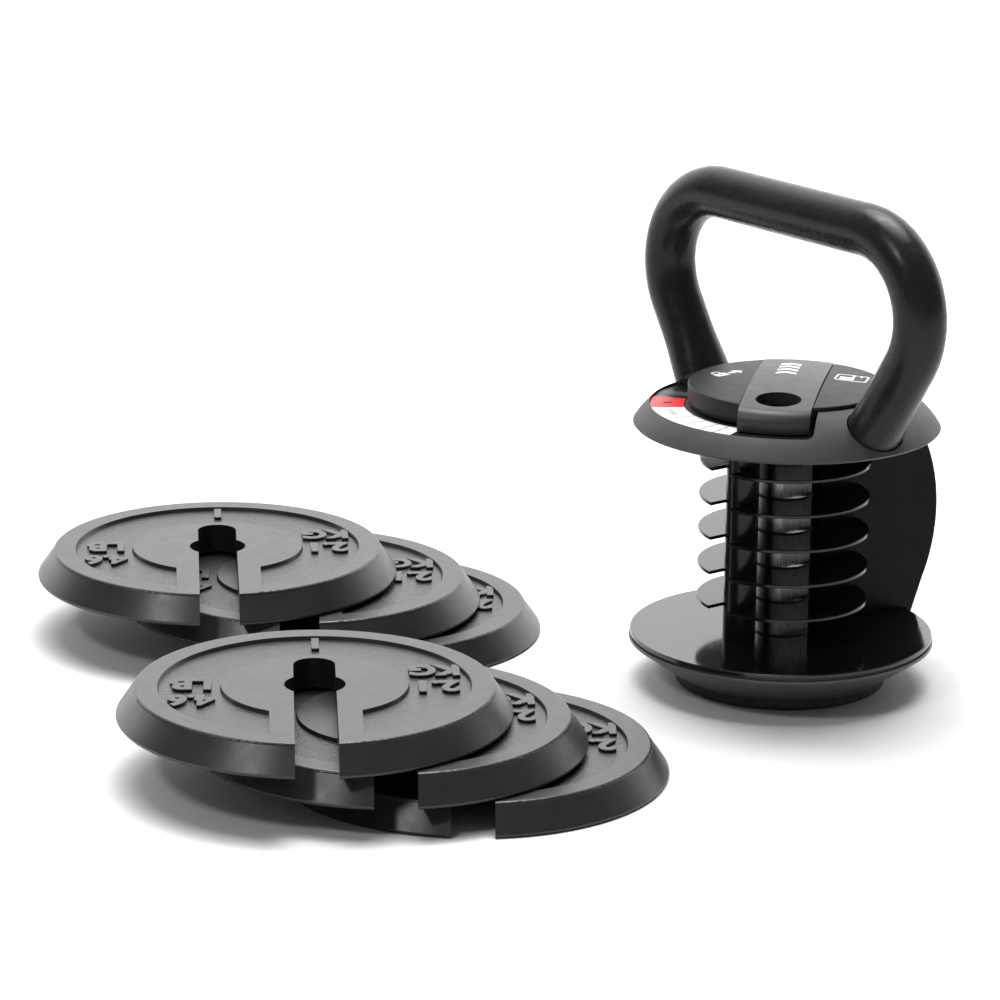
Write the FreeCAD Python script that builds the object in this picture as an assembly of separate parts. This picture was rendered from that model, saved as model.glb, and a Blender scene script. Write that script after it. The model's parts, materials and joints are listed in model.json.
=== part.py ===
import FreeCAD, Part
import math
import os

# Adjustable kettlebell: a handle unit standing on its foot, and its six slotted weight plates beside it.
# Millimetres, +Z up. The origin is on the floor, on the axis of the selector shaft.
# The handle spans X. Plates slide into the bays towards +Y, where the fin stands in their slots.

Vector = FreeCAD.Vector
UP = Vector(0, 0, 1)
ORIGIN = Vector(0, 0, 0)

# Base
FOOT_RADIUS = 61.5
FOOT_TOP = 7.0
SCREW_POCKET_RADIUS = 8.0
DISH_LOW_RADIUS = 63.0
DISH_RIM_RADIUS = 88.9
DISH_TOP = 27.8
DISH_WALL = 3.0
BASE_RADIUS = 88.3
BASE_TOP = 30.5
DISH_HUB_RADIUS = 14.0

# Shelves, one between each pair of plate bays
SHELF_COUNT = 5
SHELF_PITCH = 20.7
SHELF_RADIUS = 49.7
SHELF_THICKNESS = 2.0
SHELF_LET_IN = 1.2
BUSH_BORE = 16.0
BUSH_OUTER = 17.6
BUSH_LIP_RADIUS = 16.5
BUSH_LIP_HEIGHT = 0.8
BUSH_SLEEVE_RADIUS = 10.5

# Uprights
POST_RADIUS = 9.5
POST_Y = -32.0
FIN_HALF_WIDTH = 11.0
FIN_FRONT_Y = 18.5
FIN_ARC_Y = 18.0
FIN_ARC_Z = 88.3
FIN_ARC_RADIUS = 93.9
FIN_ARC_LOW_Z = 47.1
FIN_LIP_GAP_Y = 89.3
FIN_LIP_Y = 93.1
FIN_LIP_Z = 24.3
FIN_EDGE_ROUND = 1.5

# Head
HEAD_PLATE_LOW = 152.7
HEAD_PLATE_TOP = 156.2
HEAD_PLATE_RADIUS = 84.0
SHELL_RIM_LOW = 153.9
SHELL_RIM_Z = 155.2
SHELL_RIM_RADIUS = 88.8
SHELL_MID = (76.5, 168.6)
SHELL_TOP = (59.0, 176.4)
SHELL_CAVITY_TOP = 162.4
WELL_RADIUS = 59.0
WELL_FLOOR = 164.6
HUB_OPENING_RADIUS = 21.0
RECESS_RADIUS = 79.5
RECESS_FIRST_DEG = -166.0
RECESS_SIDE = 24.0
RECESS_CORNER_ROUND = 5.0
LABEL_THICKNESS = 0.4

# Selector
SHAFT_RADIUS = 15.7
SHAFT_HALF_FLATS = 11.2
SHAFT_TOP = 151.0
JOURNAL_LOW_RADIUS = 8.0
JOURNAL_HIGH_RADIUS = 12.0
JOURNAL_HIGH_TOP = 163.0
RUNNING_FIT = 0.05
DRIVE_HALF_SIDE = 7.0
DRIVE_TOP = 169.5
LEVER_REST_DEG = -48.0
DIAL_RADIUS = 57.6
DIAL_LOW_RADIUS = 56.0
DIAL_LOW = 166.2
DIAL_WALL_LOW = 169.6
DIAL_EDGE = 178.6
DIAL_CROWN = 180.6
LEVER_HALF_WIDTH = 20.5
LEVER_NOSE_RADIUS = 68.0
LEVER_NOSE_LOW = 165.8
LEVER_FLOOR = 174.0
LEVER_CROWN = 181.6
LEVER_NOSE_ROUND = 8.5
FINGER_HOLE_RADIUS = 13.0
FINGER_HOLE_AT = 43.3

# Handle
TUBE_RADIUS = 15.0
TUBE_BORE = 12.0
BAR_Z = 280.0
BAR_HALF_LENGTH = 62.5
BEND_RADIUS = 46.2
LEG_LEAN_DEG = 32.0
LEG_TUBE_END = 48.0
# Each section of a leg's foot: distance along the leg from the head plate, extra radius along Y
FOOT_FLARE = [(48.0, 0.0), (42.0, 0.05), (34.0, 0.6), (24.0, 1.8), (14.0, 2.8), (0.0, 3.3), (-14.0, 3.4)]
FOOT_HOLE_GAP = 0.7
PLUG_TOP = 180.0
HANDLE_SCREW_X = 73.0

# Weight plates
PLATE_RADIUS = 108.2
PLATE_TOP_RADIUS = 98.5
PLATE_HEIGHT = 17.0
PLATE_EDGE_ROUND = 1.6
SLOT_HALF_WIDTH = 11.6
SLOT_END = 46.0
PLATE_HOLE_RADIUS = 16.8
HUB_RADIUS = 50.9
BAND_HALF_WIDTH = 24.9
FIELD_RADIUS = 85.6
FIELD_DEPTH = 2.2
COFFER_INNER = 55.0
COFFER_OUTER = 97.0
COFFER_DEPTH = 10.4

# Each plate: name, x, y, level in its stack, direction its slot opens in degrees
PLATES = [
    ("weight_plate_1", -273.9, -213.8, 2, -32.6),
    ("weight_plate_2", -243.1, -173.2, 1, -35.2),
    ("weight_plate_3", -220.8, -143.9, 0, -36.0),
    ("weight_plate_4", -21.9, -316.1, 2, -33.9),
    ("weight_plate_5", 1.5, -282.0, 1, -34.0),
    ("weight_plate_6", 25.0, -244.0, 0, -36.3),
]


def cylinder(radius, low, high, x=0.0, y=0.0):
    return Part.makeCylinder(radius, high - low, Vector(x, y, low))


def ring(outer, inner, low, high):
    return cylinder(outer, low, high).cut(cylinder(inner, low, high))


def box(x_low, x_high, y_low, y_high, z_low, z_high):
    corner = Vector(x_low, y_low, z_low)
    return Part.makeBox(x_high - x_low, y_high - y_low, z_high - z_low, corner)


def turned(points, degrees=360.0):
    """Solid of revolution about Z from (radius, height) corners, starting at +X."""
    corners = [Vector(r, 0, z) for r, z in points]
    outline = Part.makePolygon(corners + corners[:1])
    return Part.Face(outline).revolve(ORIGIN, UP, degrees)


def about_z(shape, degrees):
    placed = shape.copy()
    placed.rotate(ORIGIN, UP, degrees)
    return placed


def sector(inner, outer, low, high, first_deg, last_deg):
    corners = [(inner, low), (outer, low), (outer, high), (inner, high)]
    return about_z(turned(corners, last_deg - first_deg), first_deg)


def cap_screw(x, y, seat, tip, shank, head, head_height, head_below):
    """Vertical cap screw; its head sits under the seat or on top of it."""
    low, high = min(seat, tip), max(seat, tip)
    body = cylinder(shank, low, high, x, y)
    if head_below:
        return body.fuse(cylinder(head, seat - head_height, seat, x, y))
    return body.fuse(cylinder(head, seat, seat + head_height, x, y))


def flush_screw(x, y, tip, shank, head):
    """Countersunk screw driven up through the head plate, flush with its underside."""
    taper = Part.makeCone(head, shank, head - shank, Vector(x, y, HEAD_PLATE_LOW))
    return taper.fuse(cylinder(shank, HEAD_PLATE_LOW, tip, x, y))


def with_socket(screw, across_flats, depth, from_below):
    """The screw with a hexagon socket in the outer face of its head."""
    bounds = screw.BoundBox
    middle = bounds.Center
    start = bounds.ZMin if from_below else bounds.ZMax - depth
    corner_radius = across_flats / math.sqrt(3.0)
    corners = []
    for i in range(6):
        angle = math.radians(60.0 * i)
        x = middle.x + corner_radius * math.cos(angle)
        y = middle.y + corner_radius * math.sin(angle)
        corners.append(Vector(x, y, start))
    socket = Part.Face(Part.makePolygon(corners + corners[:1])).extrude(UP * depth)
    return screw.cut(socket)


def screw_set(screws, across_flats, depth, from_below):
    return Part.makeCompound([with_socket(s, across_flats, depth, from_below) for s in screws])


def joined(shapes):
    whole = shapes[0]
    for shape in shapes[1:]:
        whole = whole.fuse(shape)
    return whole.removeSplitter()


def shelf_tops():
    return [BASE_TOP + SHELF_PITCH * (i + 1) for i in range(SHELF_COUNT)]


# Screws first, because the parts they clamp are cut with them.

def base_screws():
    """Two long screws clamp the dish and the base plate to the post and the fin."""
    places = [(0.0, POST_Y), (0.0, 34.0)]
    return [cap_screw(x, y, FOOT_TOP, 62.0, 4.0, 6.5, 4.5, True) for x, y in places]


def dish_screws():
    screw = cap_screw(42.0, 0.0, FOOT_TOP, 29.8, 2.5, 4.5, 3.0, True)
    return [about_z(screw, degrees) for degrees in (45.0, 135.0, 225.0, 315.0)]


def head_screws():
    places = [(0.0, POST_Y), (0.0, 31.0), (0.0, 62.0)]
    return [cap_screw(x, y, HEAD_PLATE_TOP, 128.0, 3.0, 5.0, 4.6, False) for x, y in places]


def shell_screws():
    screw = flush_screw(72.0, 0.0, 160.5, 2.0, 4.0)
    return [about_z(screw, degrees) for degrees in (45.0, 135.0, 225.0, 315.0)]


def handle_screws():
    return [flush_screw(x, 0.0, 173.0, 4.0, 7.4) for x in (-HANDLE_SCREW_X, HANDLE_SCREW_X)]


# Base

def base_foot():
    blank = Part.makeCylinder(FOOT_RADIUS, FOOT_TOP)
    outer_edges = [e for e in blank.Edges if len(e.Vertexes) == 1 and e.BoundBox.ZMax < 0.1]
    foot = blank.makeFillet(2.5, outer_edges)
    for screw in base_screws() + dish_screws():
        middle = screw.BoundBox.Center
        foot = foot.cut(cylinder(SCREW_POCKET_RADIUS, 0.0, FOOT_TOP, middle.x, middle.y))
    return foot


def base_dish():
    outside = [
        (0, FOOT_TOP),
        (DISH_LOW_RADIUS, FOOT_TOP),
        (DISH_LOW_RADIUS + 0.9, FOOT_TOP + 0.5),
        (DISH_RIM_RADIUS - 0.5, DISH_TOP - 3.0),
        (DISH_RIM_RADIUS, DISH_TOP - 2.5),
        (DISH_RIM_RADIUS, DISH_TOP - 1.6),
        (DISH_RIM_RADIUS - 0.5, DISH_TOP - 1.1),
        (DISH_RIM_RADIUS - 1.9, DISH_TOP - 1.1),
        (DISH_RIM_RADIUS - 1.9, DISH_TOP),
        (0, DISH_TOP),
    ]
    floor = FOOT_TOP + DISH_WALL
    inside = [
        (0, floor),
        (DISH_LOW_RADIUS - DISH_WALL, floor),
        (DISH_RIM_RADIUS - DISH_WALL - 2.6, DISH_TOP - 3.2),
        (DISH_RIM_RADIUS - DISH_WALL - 2.6, DISH_TOP),
        (0, DISH_TOP),
    ]
    pillars = [cylinder(DISH_HUB_RADIUS, floor, DISH_TOP)]
    for screw in base_screws() + dish_screws():
        middle = screw.BoundBox.Center
        pillars.append(cylinder(9.0, floor, DISH_TOP, middle.x, middle.y))
    rib = box(DISH_HUB_RADIUS - 2.0, DISH_LOW_RADIUS - DISH_WALL, -1.5, 1.5, floor, DISH_TOP)
    ribs = [about_z(rib, 45.0 * i) for i in range(8)]
    dish = joined([turned(outside).cut(turned(inside))] + pillars + ribs)
    dish = dish.cut(cylinder(BUSH_SLEEVE_RADIUS, 16.0, DISH_TOP))
    for screw in base_screws() + dish_screws():
        dish = dish.cut(screw)
    return dish


def base_plate():
    profile = [
        (BUSH_SLEEVE_RADIUS, DISH_TOP),
        (BASE_RADIUS - 0.7, DISH_TOP),
        (BASE_RADIUS, DISH_TOP + 0.6),
        (BASE_RADIUS, BASE_TOP - 0.5),
        (BASE_RADIUS - 0.6, BASE_TOP),
        (BUSH_SLEEVE_RADIUS, BASE_TOP),
    ]
    plate = turned(profile)
    for screw in base_screws() + dish_screws():
        plate = plate.cut(screw)
    return plate


def shaft_bush_low():
    bore = JOURNAL_LOW_RADIUS + RUNNING_FIT
    profile = [
        (bore, 16.0),
        (BUSH_SLEEVE_RADIUS, 16.0),
        (BUSH_SLEEVE_RADIUS, BASE_TOP),
        (BUSH_LIP_RADIUS, BASE_TOP),
        (BUSH_LIP_RADIUS, BASE_TOP + BUSH_LIP_HEIGHT),
        (bore, BASE_TOP + BUSH_LIP_HEIGHT),
    ]
    return turned(profile)


# Uprights and shelves

def shelf(top):
    low = top - SHELF_THICKNESS
    blank = cylinder(SHELF_RADIUS, low, top)
    rim_edges = [e for e in blank.Edges if len(e.Vertexes) == 1]
    disc = blank.makeChamfer(0.35, rim_edges)
    disc = disc.cut(cylinder(BUSH_OUTER, low, top))
    front = POST_RADIUS - SHELF_LET_IN
    rear = FIN_HALF_WIDTH - SHELF_LET_IN
    disc = disc.cut(cylinder(front, low, top, 0.0, POST_Y))
    disc = disc.cut(box(-front, front, -SHELF_RADIUS, POST_Y, low, top))
    return disc.cut(box(-rear, rear, FIN_FRONT_Y + SHELF_LET_IN, SHELF_RADIUS, low, top))


def shelf_bush():
    """Five alike sleeves, one in each shelf; the lip centres the plate that rests there."""
    sleeves = []
    for top in shelf_tops():
        profile = [
            (BUSH_BORE, top - SHELF_THICKNESS),
            (BUSH_OUTER, top - SHELF_THICKNESS),
            (BUSH_OUTER, top),
            (BUSH_LIP_RADIUS, top),
            (BUSH_LIP_RADIUS, top + BUSH_LIP_HEIGHT),
            (BUSH_BORE, top + BUSH_LIP_HEIGHT),
        ]
        sleeves.append(turned(profile))
    return Part.makeCompound(sleeves)


def spine_post():
    """Round front upright, grooved where the shelves enter it."""
    post = cylinder(POST_RADIUS, BASE_TOP, HEAD_PLATE_LOW, 0.0, POST_Y)
    cutters = [shelf(top) for top in shelf_tops()] + base_screws() + head_screws()
    for cutter in cutters:
        post = post.cut(cutter)
    return post


def fin_arc_y(z):
    return FIN_ARC_Y + math.sqrt(FIN_ARC_RADIUS ** 2 - (z - FIN_ARC_Z) ** 2)


def on_fin_back(edge):
    """True for the arc and for the slanted straight edge below it."""
    if edge.Curve.TypeId == "Part::GeomCircle":
        return True
    return edge.BoundBox.YLength > 1.0 and edge.BoundBox.ZLength > 1.0


def spine_fin():
    """Rear upright: a thick fin with a bowed back, whose lip hooks over the base plate's edge."""
    x = -FIN_HALF_WIDTH
    arc_low = Vector(x, fin_arc_y(FIN_ARC_LOW_Z), FIN_ARC_LOW_Z)
    middle = Vector(x, fin_arc_y(FIN_ARC_Z), FIN_ARC_Z)
    high_outer = Vector(x, fin_arc_y(HEAD_PLATE_LOW), HEAD_PLATE_LOW)
    corners = [
        high_outer,
        Vector(x, FIN_FRONT_Y, HEAD_PLATE_LOW),
        Vector(x, FIN_FRONT_Y, BASE_TOP),
        Vector(x, FIN_LIP_GAP_Y, BASE_TOP),
        Vector(x, FIN_LIP_GAP_Y, FIN_LIP_Z),
        Vector(x, FIN_LIP_Y, FIN_LIP_Z),
        arc_low,
    ]
    edges = [Part.makeLine(corners[i], corners[i + 1]) for i in range(len(corners) - 1)]
    edges.append(Part.Arc(arc_low, middle, high_outer).toShape())
    fin = Part.Face(Part.Wire(edges)).extrude(Vector(2 * FIN_HALF_WIDTH, 0, 0))
    fin = fin.makeFillet(FIN_EDGE_ROUND, [e for e in fin.Edges if on_fin_back(e)])
    cutters = [shelf(top) for top in shelf_tops()] + base_screws() + head_screws()
    for cutter in cutters:
        fin = fin.cut(cutter)
    return fin


# Head

def head_plate():
    plate = cylinder(HEAD_PLATE_RADIUS, HEAD_PLATE_LOW, HEAD_PLATE_TOP)
    plate = plate.cut(cylinder(14.0, HEAD_PLATE_LOW, HEAD_PLATE_TOP))
    for screw in head_screws() + shell_screws() + handle_screws():
        plate = plate.cut(screw)
    return plate


def shaft_bush_high():
    bore = JOURNAL_HIGH_RADIUS + RUNNING_FIT
    profile = [
        (bore, SHAFT_TOP + 0.6),
        (14.0, SHAFT_TOP + 0.6),
        (14.0, HEAD_PLATE_TOP),
        (18.5, HEAD_PLATE_TOP),
        (18.5, HEAD_PLATE_TOP + 1.2),
        (bore, HEAD_PLATE_TOP + 1.2),
    ]
    return turned(profile)


def friction_washer():
    """Coned spring washer between the upper bush and the dial hub."""
    low = HEAD_PLATE_TOP + 1.2
    profile = [(12.5, low + 0.6), (17.0, low), (17.0, low + 0.6), (12.5, low + 1.2)]
    return turned(profile)


def shell_outside():
    """Domed cover before hollowing: steep at the rim and flatter towards the dial."""
    rim = Vector(SHELL_RIM_RADIUS, 0, SHELL_RIM_Z)
    middle = Vector(SHELL_MID[0], 0, SHELL_MID[1])
    top = Vector(SHELL_TOP[0], 0, SHELL_TOP[1])
    corners = [
        top,
        Vector(HUB_OPENING_RADIUS, 0, SHELL_TOP[1]),
        Vector(HUB_OPENING_RADIUS, 0, SHELL_RIM_LOW),
        Vector(SHELL_RIM_RADIUS - 1.2, 0, SHELL_RIM_LOW),
        rim,
    ]
    edges = [Part.makeLine(corners[i], corners[i + 1]) for i in range(4)]
    edges.append(Part.Arc(rim, middle, top).toShape())
    return Part.Face(Part.Wire(edges)).revolve(ORIGIN, UP, 360.0)


def leg_axis():
    """Foot point on the head plate, upward direction and upper end of the right leg."""
    lean = math.radians(LEG_LEAN_DEG)
    turn = math.pi / 2 + lean
    end_x = BAR_HALF_LENGTH + BEND_RADIUS * math.sin(turn)
    end_z = BAR_Z - BEND_RADIUS + BEND_RADIUS * math.cos(turn)
    foot_x = end_x - (end_z - HEAD_PLATE_TOP) * math.tan(lean)
    foot = Vector(foot_x, 0, HEAD_PLATE_TOP)
    upward = Vector(math.sin(lean), 0, math.cos(lean))
    return foot, upward, Vector(end_x, 0, end_z)


def mirrored(shape):
    return shape.mirror(ORIGIN, Vector(1, 0, 0))


def ellipse_wire(centre, along, across, deep):
    """Ellipse square to the leg: 'across' in the handle plane, 'deep' along Y."""
    major = max(across, deep)
    minor = min(across, deep)
    if abs(across - deep) < 1e-6:
        return Part.Wire(Part.makeCircle(across, centre, along))
    side = along.cross(Vector(0, 1, 0))
    curve = Part.Ellipse(centre + Vector(0, major, 0), centre + side * minor, centre)
    return Part.Wire(curve.toShape())


def leg_foot(extra=0.0):
    """Lower end of the right leg, widening along Y towards the head plate."""
    foot, along, _ = leg_axis()
    wires = []
    for height, widening in FOOT_FLARE:
        centre = foot + along * height
        wires.append(ellipse_wire(centre, along, TUBE_RADIUS + extra, TUBE_RADIUS + extra + widening))
    return Part.makeLoft(wires, True)


def label_recess(shrink=0.0, high=190.0):
    """Arc swept by the lever's nose, ended beside the lever at rest by a wall parallel to it."""
    outer = RECESS_RADIUS - shrink
    first = RECESS_FIRST_DEG + shrink
    side = RECESS_SIDE - shrink
    swept = sector(WELL_RADIUS - 3.0, outer, WELL_FLOOR, high, first, LEVER_REST_DEG)
    bay = box(WELL_RADIUS - 14.0, 100.0, -1.0, side, WELL_FLOOR, high)
    bay = bay.common(cylinder(outer, WELL_FLOOR, high))
    corner = [e for e in bay.Edges if e.BoundBox.XMin > 60.0 and e.BoundBox.YMin > side - 0.1]
    corner = [e for e in corner if e.BoundBox.ZLength > (high - WELL_FLOOR) / 2]
    bay = bay.makeFillet(RECESS_CORNER_ROUND - shrink, corner)
    return joined([swept, about_z(bay, LEVER_REST_DEG)])


def top_shell():
    shell = shell_outside()
    low_cavity = [
        (HUB_OPENING_RADIUS - 0.5, SHELL_RIM_LOW),
        (HEAD_PLATE_RADIUS + 0.4, SHELL_RIM_LOW),
        (HEAD_PLATE_RADIUS + 0.4, HEAD_PLATE_TOP + 0.2),
        (79.5, SHELL_CAVITY_TOP),
        (HUB_OPENING_RADIUS + 2.5, SHELL_CAVITY_TOP),
        (HUB_OPENING_RADIUS + 2.5, HEAD_PLATE_TOP),
        (HUB_OPENING_RADIUS - 0.5, HEAD_PLATE_TOP),
    ]
    high_cavity = [
        (WELL_RADIUS + 2.5, SHELL_CAVITY_TOP - 0.5),
        (79.0, SHELL_CAVITY_TOP - 0.5),
        (73.5, 168.0),
        (WELL_RADIUS + 2.5, 172.8),
    ]
    boss = cylinder(5.0, HEAD_PLATE_TOP, 167.0, 72.0, 0.0)
    bosses = [about_z(boss, 45.0 + 90.0 * i) for i in range(4)]
    recess_end = LEVER_REST_DEG + math.degrees(math.asin(RECESS_SIDE / WELL_RADIUS)) + 3.0
    high_span = 360.0 - (recess_end - RECESS_FIRST_DEG) - 3.0
    shell = shell.cut(turned(low_cavity))
    shell = shell.cut(about_z(turned(high_cavity, high_span), recess_end))
    for boss in bosses:
        shell = shell.fuse(boss)
    shell = shell.cut(cylinder(WELL_RADIUS, WELL_FLOOR, 190.0))
    shell = shell.cut(label_recess())
    hole = leg_foot(FOOT_HOLE_GAP)
    shell = shell.cut(hole).cut(mirrored(hole))
    for screw in shell_screws():
        shell = shell.cut(screw)
    return shell


def setting_label():
    """Printed ring on the recess floor, cut to the same outline."""
    high = WELL_FLOOR + LABEL_THICKNESS
    return label_recess(0.2, high).cut(cylinder(WELL_RADIUS, WELL_FLOOR, high))


# Handle

def handle_path():
    foot, along, bend_end = leg_axis()
    foot = foot + along * LEG_TUBE_END
    half = math.radians(LEG_LEAN_DEG) / 2 + math.pi / 4
    bend_mid = Vector(
        BAR_HALF_LENGTH + BEND_RADIUS * math.sin(half),
        0,
        BAR_Z - BEND_RADIUS + BEND_RADIUS * math.cos(half),
    )
    bar_end = Vector(BAR_HALF_LENGTH, 0, BAR_Z)
    right = [Part.Arc(bar_end, bend_mid, bend_end).toShape(), Part.makeLine(bend_end, foot)]
    left = [
        Part.makeLine(flipped(foot), flipped(bend_end)),
        Part.Arc(flipped(bend_end), flipped(bend_mid), flipped(bar_end)).toShape(),
    ]
    return Part.Wire(left + [Part.makeLine(flipped(bar_end), bar_end)] + right), flipped(foot)


def flipped(point):
    return Vector(-point.x, point.y, point.z)


def rod(radius):
    """Round rod along the bar, the bends and the upper legs."""
    path, start = handle_path()
    along = leg_axis()[1]
    circle = Part.makeCircle(radius, start, Vector(-along.x, 0, along.z))
    return path.makePipeShell([Part.Wire(circle)], True, False)


def leg_cylinder(radius):
    foot, along, _ = leg_axis()
    return Part.makeCylinder(radius, LEG_TUBE_END + 14.0, foot - along * 14.0, along)


def below_head():
    return box(-120.0, 120.0, -40.0, 40.0, 100.0, HEAD_PLATE_TOP)


def handle():
    outside = joined([rod(TUBE_RADIUS), leg_foot(), mirrored(leg_foot())])
    inside = joined([rod(TUBE_BORE), leg_cylinder(TUBE_BORE), mirrored(leg_cylinder(TUBE_BORE))])
    return outside.cut(inside).cut(below_head())


def handle_plug():
    """Solid slug in each foot, tapped for its screw."""
    lid = box(-120.0, 120.0, -40.0, 40.0, PLUG_TOP, 230.0)
    slug = leg_cylinder(TUBE_BORE).cut(below_head()).cut(lid)
    plugs = []
    for body, screw in zip([mirrored(slug), slug], handle_screws()):
        plugs.append(body.cut(screw))
    return Part.makeCompound(plugs)


# Selector

def selector_shaft():
    round_bar = cylinder(SHAFT_RADIUS, BASE_TOP + BUSH_LIP_HEIGHT, SHAFT_TOP)
    flats = box(-SHAFT_HALF_FLATS, SHAFT_HALF_FLATS, -30.0, 30.0, 20.0, 160.0)
    core = round_bar.common(flats)
    low = cylinder(JOURNAL_LOW_RADIUS, 17.0, BASE_TOP + BUSH_LIP_HEIGHT)
    high = cylinder(JOURNAL_HIGH_RADIUS, SHAFT_TOP, JOURNAL_HIGH_TOP)
    side = DRIVE_HALF_SIDE
    drive = about_z(box(-side, side, -side, side, JOURNAL_HIGH_TOP, DRIVE_TOP), LEVER_REST_DEG)
    shaft = joined([core, low, high, drive])
    return shaft.cut(dial_screw())


def dial_screw():
    return cap_screw(0.0, 0.0, DRIVE_TOP + 1.5, 150.0, 3.0, 5.8, 2.3, False)


def dial_dome(radius, edge, crown):
    """Shallow dome: a ball cut off at the edge height."""
    rise = crown - edge
    ball_radius = (radius ** 2 + rise ** 2) / (2 * rise)
    ball = Part.makeSphere(ball_radius, Vector(0, 0, crown - ball_radius))
    return ball.common(cylinder(radius, edge - 30.0, crown))


def lever_channel(half_width, floor):
    """Straight channel across the dial, along +X."""
    return box(-80.0, 80.0, -half_width, half_width, floor, 190.0)


def dial():
    wall = [
        (0, DIAL_LOW),
        (DIAL_LOW_RADIUS, DIAL_LOW),
        (DIAL_RADIUS, DIAL_WALL_LOW),
        (DIAL_RADIUS, DIAL_CROWN + 1.0),
        (0, DIAL_CROWN + 1.0),
    ]
    disc = turned(wall).common(dial_dome(DIAL_RADIUS + 0.5, DIAL_EDGE, DIAL_CROWN))
    rim = [e for e in disc.Edges if e.BoundBox.ZMin > DIAL_EDGE - 2.0 and e.BoundBox.DiagonalLength > 100.0]
    disc = disc.makeFillet(1.2, rim)
    hub = cylinder(16.0, HEAD_PLATE_TOP + 2.4, DIAL_LOW)
    body = joined([disc, hub])
    body = body.cut(lever_channel(LEVER_HALF_WIDTH + 0.5, LEVER_FLOOR))
    body = body.cut(cylinder(FINGER_HOLE_RADIUS - 1.0, DIAL_LOW + 2.0, 190.0, FINGER_HOLE_AT, 0.0))
    body = about_z(body, LEVER_REST_DEG)
    body = body.cut(cylinder(JOURNAL_HIGH_RADIUS, 150.0, JOURNAL_HIGH_TOP))
    side = DRIVE_HALF_SIDE
    socket = about_z(box(-side, side, -side, side, JOURNAL_HIGH_TOP, DRIVE_TOP), LEVER_REST_DEG)
    body = body.cut(socket).cut(dial_screw())
    for screw in lever_screws():
        body = body.cut(screw)
    return body


def lever_screws():
    """Two small screws hold the lever down to the dial from inside the well."""
    screws = []
    for along in (-40.0, 24.0):
        screw = cap_screw(along, 0.0, DIAL_LOW + 1.8, LEVER_FLOOR + 4.0, 1.5, 2.8, 1.6, True)
        screws.append(about_z(screw, LEVER_REST_DEG))
    return screws


def dial_lever():
    """Crowned band across the dial; its nose hangs over the label ring."""
    reach = cylinder(LEVER_NOSE_RADIUS, LEVER_NOSE_LOW, 190.0)
    back = box(-DIAL_RADIUS, 0.0, -LEVER_HALF_WIDTH, LEVER_HALF_WIDTH, LEVER_FLOOR, 190.0)
    back = back.common(cylinder(DIAL_RADIUS, LEVER_FLOOR, 190.0))
    front = box(0.0, 80.0, -LEVER_HALF_WIDTH, LEVER_HALF_WIDTH, LEVER_NOSE_LOW, 190.0).common(reach)
    under = cylinder(DIAL_RADIUS + 0.4, 150.0, LEVER_FLOOR)
    body = joined([back, front]).cut(under)
    crown = dial_dome(LEVER_NOSE_RADIUS + 4.0, LEVER_CROWN - 4.4, LEVER_CROWN)
    body = body.common(crown)
    nose = [e for e in body.Edges if e.BoundBox.XMin > 55.0 and e.BoundBox.ZMin > 172.0]
    body = body.makeFillet(LEVER_NOSE_ROUND, nose)
    body = body.cut(cylinder(FINGER_HOLE_RADIUS, 150.0, 190.0, FINGER_HOLE_AT, 0.0))
    body = about_z(body, LEVER_REST_DEG).cut(cylinder(6.2, 160.0, LEVER_FLOOR + 0.6))
    for screw in lever_screws():
        body = body.cut(screw)
    return body


# Weight plates

def plate_outline():
    """Turned blank with a coned side and rounded edges."""
    top = PLATE_HEIGHT
    r = PLATE_EDGE_ROUND
    low_flat = Vector(PLATE_RADIUS - r, 0, 0)
    low_side = Vector(PLATE_RADIUS, 0, r + 0.6)
    high_side = Vector(PLATE_TOP_RADIUS + 0.4, 0, top - r)
    high_flat = Vector(PLATE_TOP_RADIUS - 1.2, 0, top)
    low_arc = Part.Arc(low_flat, Vector(PLATE_RADIUS - 0.35, 0, 0.6), low_side)
    high_arc = Part.Arc(high_side, Vector(PLATE_TOP_RADIUS - 0.1, 0, top - 0.5), high_flat)
    edges = [
        Part.makeLine(ORIGIN, low_flat),
        low_arc.toShape(),
        Part.makeLine(low_side, high_side),
        high_arc.toShape(),
        Part.makeLine(high_flat, Vector(0, 0, top)),
        Part.makeLine(Vector(0, 0, top), ORIGIN),
    ]
    return Part.Face(Part.Wire(edges)).revolve(ORIGIN, UP, 360.0)


def weight_plate():
    """Slotted plate at the origin, slot opening towards +X."""
    top = PLATE_HEIGHT
    floor = top - FIELD_DEPTH
    field = turned([
        (HUB_RADIUS, top),
        (HUB_RADIUS + 0.8, floor),
        (FIELD_RADIUS - 0.9, floor),
        (FIELD_RADIUS, top),
    ])
    field = field.cut(box(0.0, 120.0, -BAND_HALF_WIDTH, BAND_HALF_WIDTH, 0.0, top))
    coffer = ring(COFFER_OUTER, COFFER_INNER, 0.0, COFFER_DEPTH)
    coffer = coffer.cut(box(0.0, 120.0, -18.0, 18.0, 0.0, top))
    slot = box(SLOT_HALF_WIDTH - SLOT_END, 120.0, -SLOT_HALF_WIDTH, SLOT_HALF_WIDTH, 0.0, top)
    slot_end = cylinder(SLOT_HALF_WIDTH, 0.0, top, SLOT_HALF_WIDTH - SLOT_END, 0.0)
    hole = cylinder(PLATE_HOLE_RADIUS, 0.0, top)
    plate = plate_outline()
    for cutter in (field, coffer, slot, slot_end, hole):
        plate = plate.cut(cutter)
    return plate


def placed_plate(x, y, level, slot_deg):
    plate = about_z(weight_plate(), slot_deg)
    plate.translate(Vector(x, y, level * PLATE_HEIGHT))
    return plate


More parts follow.
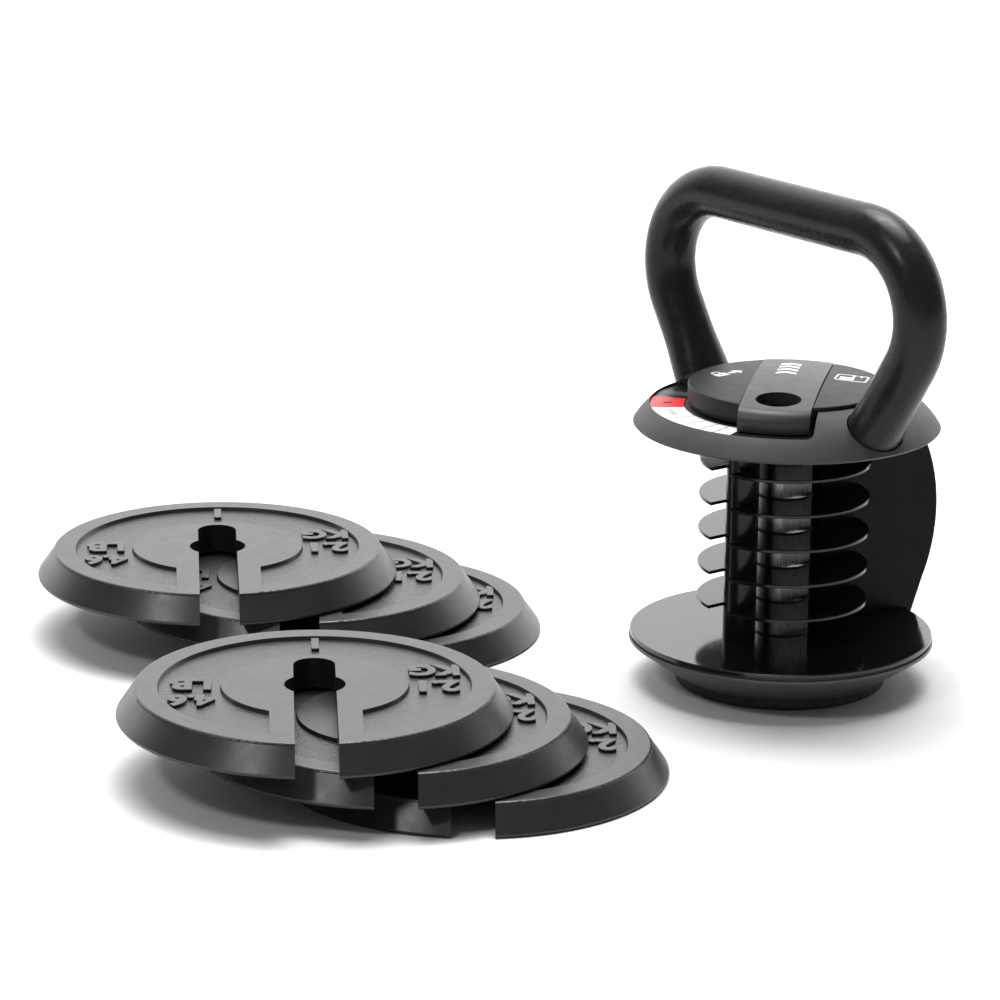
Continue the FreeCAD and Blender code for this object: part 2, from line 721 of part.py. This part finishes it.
def nodes():
    parts = {
        "base_foot": base_foot(),
        "base_dish": base_dish(),
        "base_plate": base_plate(),
        "base_screw": screw_set(base_screws(), 6.0, 3.0, True),
        "dish_screw": screw_set(dish_screws(), 4.0, 2.0, True),
        "shaft_bush_low": shaft_bush_low(),
        "spine_post": spine_post(),
        "spine_fin": spine_fin(),
        "shelf_bush": shelf_bush(),
        "head_plate": head_plate(),
        "head_screw": screw_set(head_screws(), 5.0, 3.0, False),
        "shaft_bush_high": shaft_bush_high(),
        "friction_washer": friction_washer(),
        "top_shell": top_shell(),
        "shell_screw": screw_set(shell_screws(), 2.5, 2.0, True),
        "setting_label": setting_label(),
        "handle": handle(),
        "handle_plug": handle_plug(),
        "handle_screw": screw_set(handle_screws(), 5.0, 3.5, True),
        "selector_shaft": selector_shaft(),
        "dial": dial(),
        "dial_screw": with_socket(dial_screw(), 5.0, 1.6, False),
        "dial_lever": dial_lever(),
        "lever_screw": screw_set(lever_screws(), 2.0, 1.2, True),
    }
    for number, top in enumerate(shelf_tops(), start=1):
        parts["shelf_%d" % number] = shelf(top)
    for name, x, y, level, slot_deg in PLATES:
        parts[name] = placed_plate(x, y, level, slot_deg)
    return parts


os.makedirs("parts", exist_ok=True)
for node_name, shape in nodes().items():
    shape.exportStep("parts/%s.step" % node_name)
    print("%s: %d solid, %.1f cm3" % (node_name, len(shape.Solids), shape.Volume / 1000.0))
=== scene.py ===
"""Looks of the adjustable kettlebell: a handle unit on its foot, with six slotted weight plates beside it.

Everything is in metres, in the frame of the CAD model: +Z up, floor at z = 0, handle along X.
"""

import json
import math

import bmesh
import bpy
from mathutils import Matrix, Vector

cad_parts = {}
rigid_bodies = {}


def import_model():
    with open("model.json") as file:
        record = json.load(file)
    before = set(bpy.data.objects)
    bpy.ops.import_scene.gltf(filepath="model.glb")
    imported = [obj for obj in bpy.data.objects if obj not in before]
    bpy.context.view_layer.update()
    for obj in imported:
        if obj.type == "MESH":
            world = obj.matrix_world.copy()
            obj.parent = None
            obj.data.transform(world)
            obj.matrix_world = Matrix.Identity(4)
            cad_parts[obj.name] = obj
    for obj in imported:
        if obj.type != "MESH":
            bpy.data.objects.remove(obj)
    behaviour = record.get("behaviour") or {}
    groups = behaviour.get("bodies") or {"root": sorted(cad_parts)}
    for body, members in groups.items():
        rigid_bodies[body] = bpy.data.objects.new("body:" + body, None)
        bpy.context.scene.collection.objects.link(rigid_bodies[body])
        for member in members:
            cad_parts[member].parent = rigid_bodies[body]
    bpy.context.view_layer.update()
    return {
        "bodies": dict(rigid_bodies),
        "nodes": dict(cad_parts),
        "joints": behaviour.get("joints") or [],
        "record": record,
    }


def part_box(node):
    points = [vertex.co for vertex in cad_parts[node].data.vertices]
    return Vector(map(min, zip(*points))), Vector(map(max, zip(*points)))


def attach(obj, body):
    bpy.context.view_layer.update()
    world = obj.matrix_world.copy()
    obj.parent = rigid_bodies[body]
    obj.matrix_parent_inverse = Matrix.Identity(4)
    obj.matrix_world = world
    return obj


MM = 0.001

# Camera
CAMERA_PLACE = (1.7277, -1.5208, 0.7578)
CAMERA_AZIMUTH_DEG = 52.76
CAMERA_DOWN_DEG = 15.83
CAMERA_ROLL_DEG = 0.6
CAMERA_LENS_MM = 147.8
SENSOR_MM = 36.0

# Stage
FLOOR_HALF_SIZE = 9.0
ROOM_BRIGHTNESS = 0.16
WINDOW_BRIGHTNESS = 1.95
WINDOW_HEADING = (-0.796, 0.605)
SUN_STRENGTH = 3.9
SUN_SPREAD_DEG = 50.0
SUN_LEAN_DEG = 18.0

# Area lights: name, place, target, width and height in metres, power in watts
AREA_LIGHTS = [
    ("key", (0.2, -2.2, 2.2), (-0.1, -0.1, 0.1), 0.5, 0.4, 17.0),
    ("overhead", (-0.5, 0.3, 2.3), (0.0, 0.0, 0.25), 1.2, 0.5, 22.0),
]

# Plates: direction in which each slot opens, then heights above the plate's underside
SLOT_DIRECTIONS_DEG = {1: -32.6, 2: -35.2, 3: -36.0, 4: -33.9, 5: -34.0, 6: -36.3}
PLATE_PITCH = 17.0 * MM
FIELD_HEIGHT = 14.8 * MM
FIGURE_TOP = 16.55 * MM
FIGURE_ROOT = 14.6 * MM
FIGURE_HEIGHT = 19.0 * MM
FIGURE_WIDTH = 0.88
# Text and the place of its centre in the plate's own frame, in millimetres; +X is the slot's direction
FIGURES = [
    ("4.6", 24.0, -67.0),
    ("LB", -3.5, -67.0),
    ("2.1", 3.0, 66.0),
    ("KG", -24.5, 66.0),
    ("1", -74.0, 1.0),
]

# Dial and lever: both tops are parts of a ball, given by the height of its top and its radius
DIAL_CROWN = 180.6 * MM
DIAL_BALL = 830.4 * MM
LEVER_CROWN = 181.6 * MM
LEVER_BALL = 591.3 * MM
# Thickness of every printed film
FILM = 0.1 * MM

# Signs on the dial and the lever: x and y in millimetres, and the reading direction in degrees
LOCKED_SIGN_AT = (-34.5, -16.0, 88.0)
OPEN_SIGN_AT = (15.5, 35.5, 38.0)
CHEVRONS_AT = (-8.5, 5.5, 132.0)
CHEVRON_COUNT = 4
CHEVRON_PITCH = 8.4

# Label ring: cells from angle to angle, in degrees; radii of the small marks in millimetres
LABEL_INNER = 59.6 * MM
LABEL_OUTER = 78.9 * MM
WHITE_CELLS_DEG = [(-122.6, -103.4), (-102.8, -91.8), (-91.2, -81.9), (-81.3, -74.4), (-73.8, -66.0)]
RED_CELL_DEG = (-141.4, -123.0)
GREY_CELL_DEG = (-154.5, -147.2)
RED_MARK_DEG = (-133.2, -130.6)
RED_MARK_RADII = (66.5, 71.5)
FAINT_MARKS_DEG = (-117.0, -113.0, -109.5)
FAINT_MARK_RADII = (67.5, 71.0)


class Finish:
    """A procedural material: short calls add nodes and wire them to its shader."""

    def __init__(self, name, colour, roughness, metallic=0.0):
        self.material = bpy.data.materials.new(name)
        self.material.use_nodes = True
        tree = self.material.node_tree
        self.nodes = tree.nodes
        self.links = tree.links
        self.shader = self.nodes["Principled BSDF"]
        self.shader.inputs["Base Color"].default_value = (*colour, 1.0)
        self.shader.inputs["Roughness"].default_value = roughness
        self.shader.inputs["Metallic"].default_value = metallic
        self.place = self.nodes.new("ShaderNodeTexCoord").outputs["Object"]
        self.last_bump = None

    def stretched(self, stretch):
        mapping = self.nodes.new("ShaderNodeMapping")
        mapping.inputs["Scale"].default_value = stretch
        self.links.new(self.place, mapping.inputs["Vector"])
        return mapping.outputs["Vector"]

    def noise(self, size, detail=3.0, stretch=None):
        """Noise whose lumps are about 'size' metres across."""
        node = self.nodes.new("ShaderNodeTexNoise")
        node.inputs["Scale"].default_value = 1.0 / size
        node.inputs["Detail"].default_value = detail
        source = self.place if stretch is None else self.stretched(stretch)
        self.links.new(source, node.inputs["Vector"])
        return node.outputs["Fac"]

    def pebbles(self, size):
        node = self.nodes.new("ShaderNodeTexVoronoi")
        node.feature = "SMOOTH_F1"
        node.inputs["Scale"].default_value = 1.0 / size
        node.inputs["Smoothness"].default_value = 0.7
        self.links.new(self.place, node.inputs["Vector"])
        return node.outputs["Distance"]

    def remap(self, source, from_low, from_high, low, high):
        node = self.nodes.new("ShaderNodeMapRange")
        self.links.new(source, node.inputs["Value"])
        node.inputs["From Min"].default_value = from_low
        node.inputs["From Max"].default_value = from_high
        node.inputs["To Min"].default_value = low
        node.inputs["To Max"].default_value = high
        return node.outputs["Result"]

    def combine(self, operation, first, second=None):
        node = self.nodes.new("ShaderNodeMath")
        node.operation = operation
        for socket, value in zip(node.inputs, (first, second)):
            if value is None:
                continue
            if isinstance(value, float):
                socket.default_value = value
            else:
                self.links.new(value, socket)
        return node.outputs["Value"]

    def part_of(self, vector, axis):
        node = self.nodes.new("ShaderNodeSeparateXYZ")
        self.links.new(vector, node.inputs["Vector"])
        return node.outputs[axis]

    def mottle(self, factor, dark, light):
        """Base colour between two colours."""
        node = self.nodes.new("ShaderNodeMix")
        node.data_type = "RGBA"
        self.links.new(factor, node.inputs["Factor"])
        for name, value in (("A", dark), ("B", light)):
            colour_socket = [s for s in node.inputs if s.name == name and s.type == "RGBA"][0]
            colour_socket.default_value = (*value, 1.0)
        result = [s for s in node.outputs if s.type == "RGBA"][0]
        self.links.new(result, self.shader.inputs["Base Color"])

    def gloss(self, source):
        self.links.new(source, self.shader.inputs["Roughness"])

    def bump(self, height, depth):
        """Adds relief of 'depth' metres to what is there already."""
        node = self.nodes.new("ShaderNodeBump")
        node.inputs["Strength"].default_value = 1.0
        node.inputs["Distance"].default_value = depth
        self.links.new(height, node.inputs["Height"])
        if self.last_bump is not None:
            self.links.new(self.last_bump, node.inputs["Normal"])
        self.last_bump = node.outputs["Normal"]
        self.links.new(self.last_bump, self.shader.inputs["Normal"])


def grey(value):
    return (value, value, value)


def enamel(name, colour, roughness, peel_depth, shine=0.5):
    """Gloss or satin paint with orange peel and faint wear in its sheen."""
    finish = Finish(name, colour, roughness)
    finish.shader.inputs["Specular IOR Level"].default_value = shine
    wear = finish.noise(18.0 * MM, 4.0)
    lighter = tuple(c * 1.25 + 0.001 for c in colour)
    finish.mottle(finish.remap(wear, 0.35, 0.75, 0.0, 1.0), colour, lighter)
    finish.gloss(finish.remap(finish.noise(5.0 * MM, 6.0), 0.3, 0.75, roughness * 0.75, roughness * 1.35))
    finish.bump(finish.noise(1.6 * MM, 2.0), peel_depth)
    return finish


def moulded(name, colour, roughness, grain_depth, shine=0.5):
    """Moulded plastic with a fine spark-eroded grain and slight handling marks."""
    finish = Finish(name, colour, roughness)
    finish.shader.inputs["Specular IOR Level"].default_value = shine
    lighter = tuple(c * 1.2 + 0.001 for c in colour)
    finish.mottle(finish.remap(finish.noise(12.0 * MM, 5.0), 0.35, 0.75, 0.0, 1.0), colour, lighter)
    finish.gloss(finish.remap(finish.noise(9.0 * MM, 5.0), 0.3, 0.7, roughness - 0.03, roughness + 0.03))
    finish.bump(finish.noise(0.45 * MM, 2.0), grain_depth)
    return finish


def steel(name, colour, roughness, stretch):
    """Machined steel; 'stretch' sets the way its tool marks run."""
    finish = Finish(name, colour, roughness, 1.0)
    marks = finish.noise(0.6 * MM, 3.0, stretch)
    darker = tuple(c * 0.8 for c in colour)
    finish.mottle(finish.remap(marks, 0.3, 0.7, 0.0, 1.0), darker, colour)
    finish.gloss(finish.remap(marks, 0.3, 0.7, roughness - 0.08, roughness + 0.1))
    finish.bump(marks, 0.01 * MM)
    return finish


def cast_iron():
    """Painted casting: smooth on rim and hub, pebbled in the sunk field."""
    finish = Finish("plate_iron", grey(0.014), 0.34)
    finish.mottle(finish.remap(finish.noise(22.0 * MM, 5.0), 0.3, 0.75, 0.0, 1.0), grey(0.012), grey(0.017))
    finish.gloss(finish.remap(finish.noise(7.0 * MM, 6.0), 0.3, 0.7, 0.31, 0.37))
    height = finish.part_of(finish.place, "Z")
    level = finish.combine("FRACT", finish.combine("DIVIDE", height, PLATE_PITCH))
    off_field = finish.combine("ABSOLUTE", finish.combine("SUBTRACT", level, FIELD_HEIGHT / PLATE_PITCH))
    geometry = finish.nodes.new("ShaderNodeNewGeometry")
    facing_up = finish.part_of(geometry.outputs["True Normal"], "Z")
    near_field = finish.combine("LESS_THAN", off_field, 0.02)
    level_face = finish.combine("GREATER_THAN", facing_up, 0.9)
    in_field = finish.combine("MULTIPLY", near_field, level_face)
    grain = finish.combine("ADD", finish.pebbles(2.1 * MM), finish.noise(1.1 * MM, 3.0))
    finish.bump(finish.noise(1.4 * MM, 2.0), 0.03 * MM)
    finish.bump(finish.combine("MULTIPLY", grain, in_field), 0.22 * MM)
    return finish


def rubber():
    finish = Finish("foot_rubber", grey(0.020), 0.8)
    finish.mottle(finish.remap(finish.noise(4.0 * MM, 5.0), 0.3, 0.7, 0.0, 1.0), grey(0.018), grey(0.030))
    finish.gloss(finish.remap(finish.noise(6.0 * MM, 4.0), 0.3, 0.7, 0.72, 0.88))
    finish.bump(finish.noise(0.9 * MM, 3.0), 0.06 * MM)
    return finish


def ink(name, colour, roughness=0.4):
    """Printed ink, a little uneven."""
    finish = Finish(name, colour, roughness)
    darker = tuple(c * 0.88 for c in colour)
    finish.mottle(finish.remap(finish.noise(3.0 * MM, 4.0), 0.3, 0.7, 0.0, 1.0), darker, colour)
    finish.gloss(finish.remap(finish.noise(2.0 * MM, 3.0), 0.3, 0.7, roughness - 0.06, roughness + 0.08))
    finish.bump(finish.noise(0.5 * MM, 2.0), 0.008 * MM)
    return finish


def make_materials():
    finishes = {
        "foot_rubber": rubber(),
        "dish_plastic": moulded("dish_plastic", grey(0.055), 0.42, 0.02 * MM),
        "base_enamel": enamel("base_enamel", grey(0.006), 0.10, 0.004 * MM),
        "screw_steel": steel("screw_steel", grey(0.20), 0.36, (1.0, 1.0, 0.3)),
        "bush_plastic": moulded("bush_plastic", grey(0.030), 0.38, 0.012 * MM),
        "post_enamel": enamel("post_enamel", grey(0.005), 0.18, 0.004 * MM, 0.25),
        "fin_enamel": enamel("fin_enamel", grey(0.004), 0.38, 0.012 * MM, 0.06),
        "head_enamel": enamel("head_enamel", grey(0.006), 0.25, 0.008 * MM, 0.3),
        "washer_steel": steel("washer_steel", grey(0.45), 0.3, (1.0, 1.0, 1.0)),
        "shell_plastic": moulded("shell_plastic", grey(0.050), 0.55, 0.025 * MM, 0.3),
        "label_print": ink("label_print", (0.004, 0.006, 0.006), 0.3),
        "handle_enamel": enamel("handle_enamel", grey(0.011), 0.27, 0.006 * MM, 0.20),
        "plug_steel": steel("plug_steel", grey(0.35), 0.4, (1.0, 1.0, 0.3)),
        "shaft_steel": steel("shaft_steel", grey(0.46), 0.3, (1.5, 1.5, 0.03)),
        "dial_plastic": moulded("dial_plastic", grey(0.012), 0.48, 0.02 * MM, 0.20),
        "lever_plastic": moulded("lever_plastic", grey(0.034), 0.44, 0.018 * MM, 0.38),
        "shelf_enamel": enamel("shelf_enamel", grey(0.005), 0.12, 0.004 * MM, 0.35),
        "plate_iron": cast_iron(),
    }
    finishes["mark_white"] = ink("mark_white", grey(0.80))
    finishes["mark_red"] = ink("mark_red", (0.78, 0.026, 0.035), 0.35)
    finishes["mark_grey"] = ink("mark_grey", (0.055, 0.065, 0.068), 0.35)
    finishes["mark_faint"] = ink("mark_faint", grey(0.42))
    finishes["mark_dark"] = ink("mark_dark", (0.012, 0.010, 0.010))
    return {name: finish.material for name, finish in finishes.items()}


def paint_frame(frame, materials):
    """Gives every CAD node the material of its slot in the record."""
    for sub in frame["record"]["subparts"]:
        node = frame["nodes"][sub["node"]]
        for place in node.material_slots:
            place.material = materials[sub["material_slot"]]


def mesh_of(curve):
    """Filled and bevelled mesh of a curve, which is then removed."""
    holder = bpy.data.objects.new("outline", curve)
    bpy.context.scene.collection.objects.link(holder)
    bpy.context.view_layer.update()
    mesh = bpy.data.meshes.new_from_object(holder.evaluated_get(bpy.context.evaluated_depsgraph_get()))
    bpy.data.objects.remove(holder)
    bpy.data.curves.remove(curve)
    return mesh


def add_piece(name, mesh, material):
    """Puts a mesh in the scene under this name, all of it in one material."""
    mesh.materials.clear()
    mesh.materials.append(material)
    piece = bpy.data.objects.new(name, mesh)
    bpy.context.scene.collection.objects.link(piece)
    return piece


# Raised figures on the plates

def text_outline(text):
    """Mesh of plain characters one unit tall, lying flat and centred, from -0.5 to 0.5 in height."""
    curve = bpy.data.curves.new("figure", "FONT")
    curve.body = text
    curve.align_x = "CENTER"
    curve.resolution_u = 5
    curve.offset = 0.012
    curve.extrude = 0.46
    curve.bevel_depth = 0.04
    curve.bevel_resolution = 2
    mesh = mesh_of(curve)
    heights = [v.co.y for v in mesh.vertices]
    low, high = min(heights), max(heights)
    tall = max(high - low, 1e-6)
    for vertex in mesh.vertices:
        vertex.co.x = vertex.co.x / tall
        vertex.co.y = (vertex.co.y - low) / tall - 0.5
    return mesh


def basis(along, up, centre):
    """Matrix that lays a flat drawing with its reading direction 'along' and its tops towards 'up'."""
    along = Vector(along)
    up = Vector(up)
    normal = along.cross(up)
    turn = Matrix((along, up, normal)).transposed().to_4x4()
    return Matrix.Translation(Vector(centre)) @ turn


def plate_figures(number, material):
    """The plate's mass in pounds and kilograms and a plain figure 1, cast in the field."""
    low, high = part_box("weight_plate_%d" % number)
    level = round(low.z / PLATE_PITCH)
    centre = Vector(((low.x + high.x) / 2, (low.y + high.y) / 2, level * PLATE_PITCH))
    plate = Matrix.Translation(centre) @ Matrix.Rotation(math.radians(SLOT_DIRECTIONS_DEG[number]), 4, "Z")
    middle = (FIGURE_TOP + FIGURE_ROOT) / 2
    thick = FIGURE_TOP - FIGURE_ROOT
    figures = bmesh.new()
    for text, x, y in FIGURES:
        outline = text_outline(text)
        lay = basis((0, -1, 0), (1, 0, 0), (x * MM, y * MM, middle))
        size = Matrix.Diagonal((FIGURE_HEIGHT * FIGURE_WIDTH, FIGURE_HEIGHT, thick, 1.0))
        outline.transform(plate @ lay @ size)
        figures.from_mesh(outline)
        bpy.data.meshes.remove(outline)
    mesh = bpy.data.meshes.new("plate_%d_figures" % number)
    bmesh.ops.remove_doubles(figures, verts=figures.verts, dist=1e-6)
    figures.to_mesh(mesh)
    figures.free()
    piece = add_piece("plate_%d_figures" % number, mesh, material)
    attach(piece, "plate_%d" % number)


# Printed marks

def film(name, outlines, lay, height_at, body, material):
    """Thin printed film from closed outlines in millimetres; an outline inside another is a hole."""
    curve = bpy.data.curves.new(name, "CURVE")
    curve.dimensions = "2D"
    curve.fill_mode = "BOTH"
    curve.extrude = FILM / 2
    for outline in outlines:
        spline = curve.splines.new("POLY")
        spline.points.add(len(outline) - 1)
        for point, (x, y) in zip(spline.points, outline):
            point.co = (x * MM, y * MM, 0.0, 1.0)
        spline.use_cyclic_u = True
    mesh = mesh_of(curve)
    mesh.transform(lay)
    for vertex in mesh.vertices:
        offset = vertex.co.z
        vertex.co.z = height_at(math.hypot(vertex.co.x, vertex.co.y)) + offset
    mesh.name = name
    piece = add_piece(name, mesh, material)
    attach(piece, body)


def arc_points(radius, first_deg, last_deg, steps, x=0.0, y=0.0):
    points = []
    for i in range(steps + 1):
        angle = math.radians(first_deg + (last_deg - first_deg) * i / steps)
        points.append((x + radius * math.cos(angle), y + radius * math.sin(angle)))
    return points


def cell(first_deg, last_deg, inner, outer):
    steps = max(4, int(abs(last_deg - first_deg) / 1.5))
    return arc_points(outer, first_deg, last_deg, steps) + arc_points(inner, last_deg, first_deg, steps)


def rounded_box(x_low, y_low, x_high, y_high, radius):
    corners = [
        (x_high - radius, y_low + radius, -90),
        (x_high - radius, y_high - radius, 0),
        (x_low + radius, y_high - radius, 90),
        (x_low + radius, y_low + radius, 180),
    ]
    points = []
    for x, y, start in corners:
        points += arc_points(radius, start, start + 90, 5, x, y)
    return points


def padlock(x, y, is_open):
    """Plain padlock sign, 8 mm wide, with its body centred at (x, y)."""
    body = rounded_box(x - 4.2, y - 3.4, x + 4.2, y + 3.0, 0.9)
    keyhole = arc_points(1.0, 0, 345, 12, x, y - 0.2)
    shift = 5.4 if is_open else 0.0
    lift = 1.0 if is_open else 0.0
    base = y + 3.4
    left = x - 2.9 + shift
    right = x + 2.9 + shift
    top = base + 1.8 + lift
    outer = arc_points(2.9, 0, 180, 12, (left + right) / 2, top)
    inner = arc_points(1.7, 180, 0, 12, (left + right) / 2, top)
    foot_left = base
    foot_right = base + (1.6 if is_open else 0.0)
    shackle = [(right, foot_right)] + outer + [(left, foot_left), (left + 1.2, foot_left)]
    shackle += inner + [(right - 1.2, foot_right)]
    return [body, keyhole, shackle]


def arrow(x, y, length, half_width, head):
    """Arrow pointing along +x from (x, y)."""
    neck = x + length - head
    return [
        (x, y - half_width),
        (neck, y - half_width),
        (neck, y - half_width * 2.6),
        (x + length, y),
        (neck, y + half_width * 2.6),
        (neck, y + half_width),
        (x, y + half_width),
    ]


def chevron(x, half_height, thickness, depth):
    return [
        (x, -half_height),
        (x + thickness, -half_height),
        (x + thickness + depth, 0.0),
        (x + thickness, half_height),
        (x, half_height),
        (x + depth, 0.0),
    ]


def on_ball(crown, ball):
    return lambda r: crown - ball + math.sqrt(ball ** 2 - r ** 2) + FILM / 2


def turned_at(x, y, degrees):
    """Lays a flat drawing at (x, y) millimetres, its reading direction at 'degrees'."""
    return Matrix.Translation((x * MM, y * MM, 0.0)) @ Matrix.Rotation(math.radians(degrees), 4, "Z")


def dial_marks(materials):
    """Padlock and arrow signs in place of lettering."""
    on_dial = on_ball(DIAL_CROWN, DIAL_BALL)
    on_lever = on_ball(LEVER_CROWN, LEVER_BALL)
    white = materials["mark_white"]
    locked = padlock(-5.0, 0.0, False) + [arrow(1.0, 0.0, 9.5, 1.9, 4.6)]
    film("dial_sign_locked", locked, turned_at(*LOCKED_SIGN_AT), on_dial, "selector", white)
    frame = [rounded_box(-9.5, -7.5, 9.5, 7.5, 2.2), rounded_box(-8.5, -6.5, 8.5, 6.5, 1.4)]
    unlocked = frame + padlock(-2.6, -1.8, True)
    film("dial_sign_open", unlocked, turned_at(*OPEN_SIGN_AT), on_dial, "selector", white)
    chevrons = [chevron(CHEVRON_PITCH * i, 6.0, 4.2, 3.6) for i in range(CHEVRON_COUNT)]
    film("lever_chevrons", chevrons, turned_at(*CHEVRONS_AT), on_lever, "selector", white)


def label_film(name, outlines, lift, material):
    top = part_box("setting_label")[1].z
    film(name, outlines, Matrix.Identity(4), lambda r: top + lift + FILM / 2, "handle_unit", material)


def label_marks(materials):
    """Coloured cells of the setting label, with a dark mark in the red one and faint marks in the white."""
    inner, outer = LABEL_INNER / MM, LABEL_OUTER / MM
    whites = [cell(first, last, inner, outer) for first, last in WHITE_CELLS_DEG]
    label_film("label_white_cells", whites, 0.0, materials["mark_white"])
    label_film("label_red_cell", [cell(*RED_CELL_DEG, inner, outer)], 0.0, materials["mark_red"])
    label_film("label_grey_cell", [cell(*GREY_CELL_DEG, inner, outer)], 0.0, materials["mark_grey"])
    pointer = cell(*RED_MARK_DEG, *RED_MARK_RADII)
    label_film("label_red_mark", [pointer], FILM, materials["mark_dark"])
    ticks = [cell(mid - 1.2, mid + 1.2, *FAINT_MARK_RADII) for mid in FAINT_MARKS_DEG]
    label_film("label_faint_marks", ticks, FILM, materials["mark_faint"])


# Stage

def make_floor():
    """Plain pale floor, far larger than the view."""
    rim = []
    sheet = bmesh.new()
    for x, y in ((-1, -1), (1, -1), (1, 1), (-1, 1)):
        rim.append(sheet.verts.new((x * FLOOR_HALF_SIZE, y * FLOOR_HALF_SIZE, 0.0)))
    sheet.faces.new(rim)
    mesh = bpy.data.meshes.new("floor")
    sheet.to_mesh(mesh)
    sheet.free()
    finish = Finish("floor_paint", grey(0.7), 0.9)
    finish.mottle(finish.remap(finish.noise(0.5, 2.0), 0.3, 0.7, 0.0, 1.0), grey(0.68), grey(0.70))
    finish.shader.inputs["Specular IOR Level"].default_value = 0.0
    mesh.materials.append(finish.material)
    floor = bpy.data.objects.new("floor", mesh)
    bpy.context.scene.collection.objects.link(floor)


def area_light(name, place, target, width, height, power):
    light = bpy.data.lights.new(name, "AREA")
    light.shape = "RECTANGLE"
    light.size = width
    light.size_y = height
    light.energy = power
    holder = bpy.data.objects.new(name, light)
    holder.location = place
    aim = Vector(target) - Vector(place)
    holder.rotation_euler = aim.to_track_quat("-Z", "Y").to_euler()
    bpy.context.scene.collection.objects.link(holder)


def make_world():
    """Dim room with one broad, soft bright zone low on the far side, which glances off every top face."""
    world = bpy.data.worlds.new("studio")
    world.use_nodes = True
    nodes = world.node_tree.nodes
    links = world.node_tree.links
    place = nodes.new("ShaderNodeTexCoord")
    split = nodes.new("ShaderNodeSeparateXYZ")
    links.new(place.outputs["Generated"], split.inputs["Vector"])
    toward = nodes.new("ShaderNodeVectorMath")
    toward.operation = "DOT_PRODUCT"
    links.new(place.outputs["Generated"], toward.inputs[0])
    toward.inputs[1].default_value = (*WINDOW_HEADING, 0.0)
    across = smooth_step(nodes, links, toward.outputs["Value"], 0.20, 0.75, 0.0, 1.0)
    upward = smooth_step(nodes, links, split.outputs["Z"], 0.65, 0.92, 1.0, 0.0)
    zone = nodes.new("ShaderNodeMath")
    zone.operation = "MULTIPLY"
    links.new(across, zone.inputs[0])
    links.new(upward, zone.inputs[1])
    level = smooth_step(nodes, links, zone.outputs["Value"], 0.0, 1.0, ROOM_BRIGHTNESS, WINDOW_BRIGHTNESS)
    links.new(level, nodes["Background"].inputs["Strength"])
    nodes["Background"].inputs["Color"].default_value = (1.0, 1.0, 1.0, 1.0)
    bpy.context.scene.world = world


def smooth_step(nodes, links, source, from_low, from_high, low, high):
    node = nodes.new("ShaderNodeMapRange")
    node.interpolation_type = "SMOOTHSTEP"
    links.new(source, node.inputs["Value"])
    node.inputs["From Min"].default_value = from_low
    node.inputs["From Max"].default_value = from_high
    node.inputs["To Min"].default_value = low
    node.inputs["To Max"].default_value = high
    return node.outputs["Result"]


def make_lights():
    sun = bpy.data.lights.new("sky", "SUN")
    sun.angle = math.radians(SUN_SPREAD_DEG)
    sun.energy = SUN_STRENGTH
    holder = bpy.data.objects.new("sky", sun)
    lean = math.radians(SUN_LEAN_DEG)
    away = Vector((*WINDOW_HEADING, 0.0)) * math.sin(lean)
    aim = -away - Vector((0.0, 0.0, math.cos(lean)))
    holder.rotation_euler = aim.to_track_quat("-Z", "Y").to_euler()
    bpy.context.scene.collection.objects.link(holder)
    for light in AREA_LIGHTS:
        area_light(*light)


def make_camera():
    data = bpy.data.cameras.new("camera")
    data.lens = CAMERA_LENS_MM
    data.sensor_width = SENSOR_MM
    data.sensor_fit = "HORIZONTAL"
    camera = bpy.data.objects.new("camera", data)
    tilt = math.radians(90.0 - CAMERA_DOWN_DEG)
    turn = math.radians(CAMERA_AZIMUTH_DEG)
    aim = Matrix.Rotation(turn, 4, "Z") @ Matrix.Rotation(tilt, 4, "X")
    roll = Matrix.Rotation(math.radians(CAMERA_ROLL_DEG), 4, "Z")
    camera.matrix_world = Matrix.Translation(CAMERA_PLACE) @ aim @ roll
    bpy.context.scene.collection.objects.link(camera)
    bpy.context.scene.camera = camera


def main():
    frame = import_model()
    materials = make_materials()
    paint_frame(frame, materials)
    for number in SLOT_DIRECTIONS_DEG:
        plate_figures(number, materials["plate_iron"])
    dial_marks(materials)
    label_marks(materials)
    make_floor()
    make_world()
    make_lights()
    make_camera()
    bpy.context.scene.view_settings.view_transform = "Standard"


main()
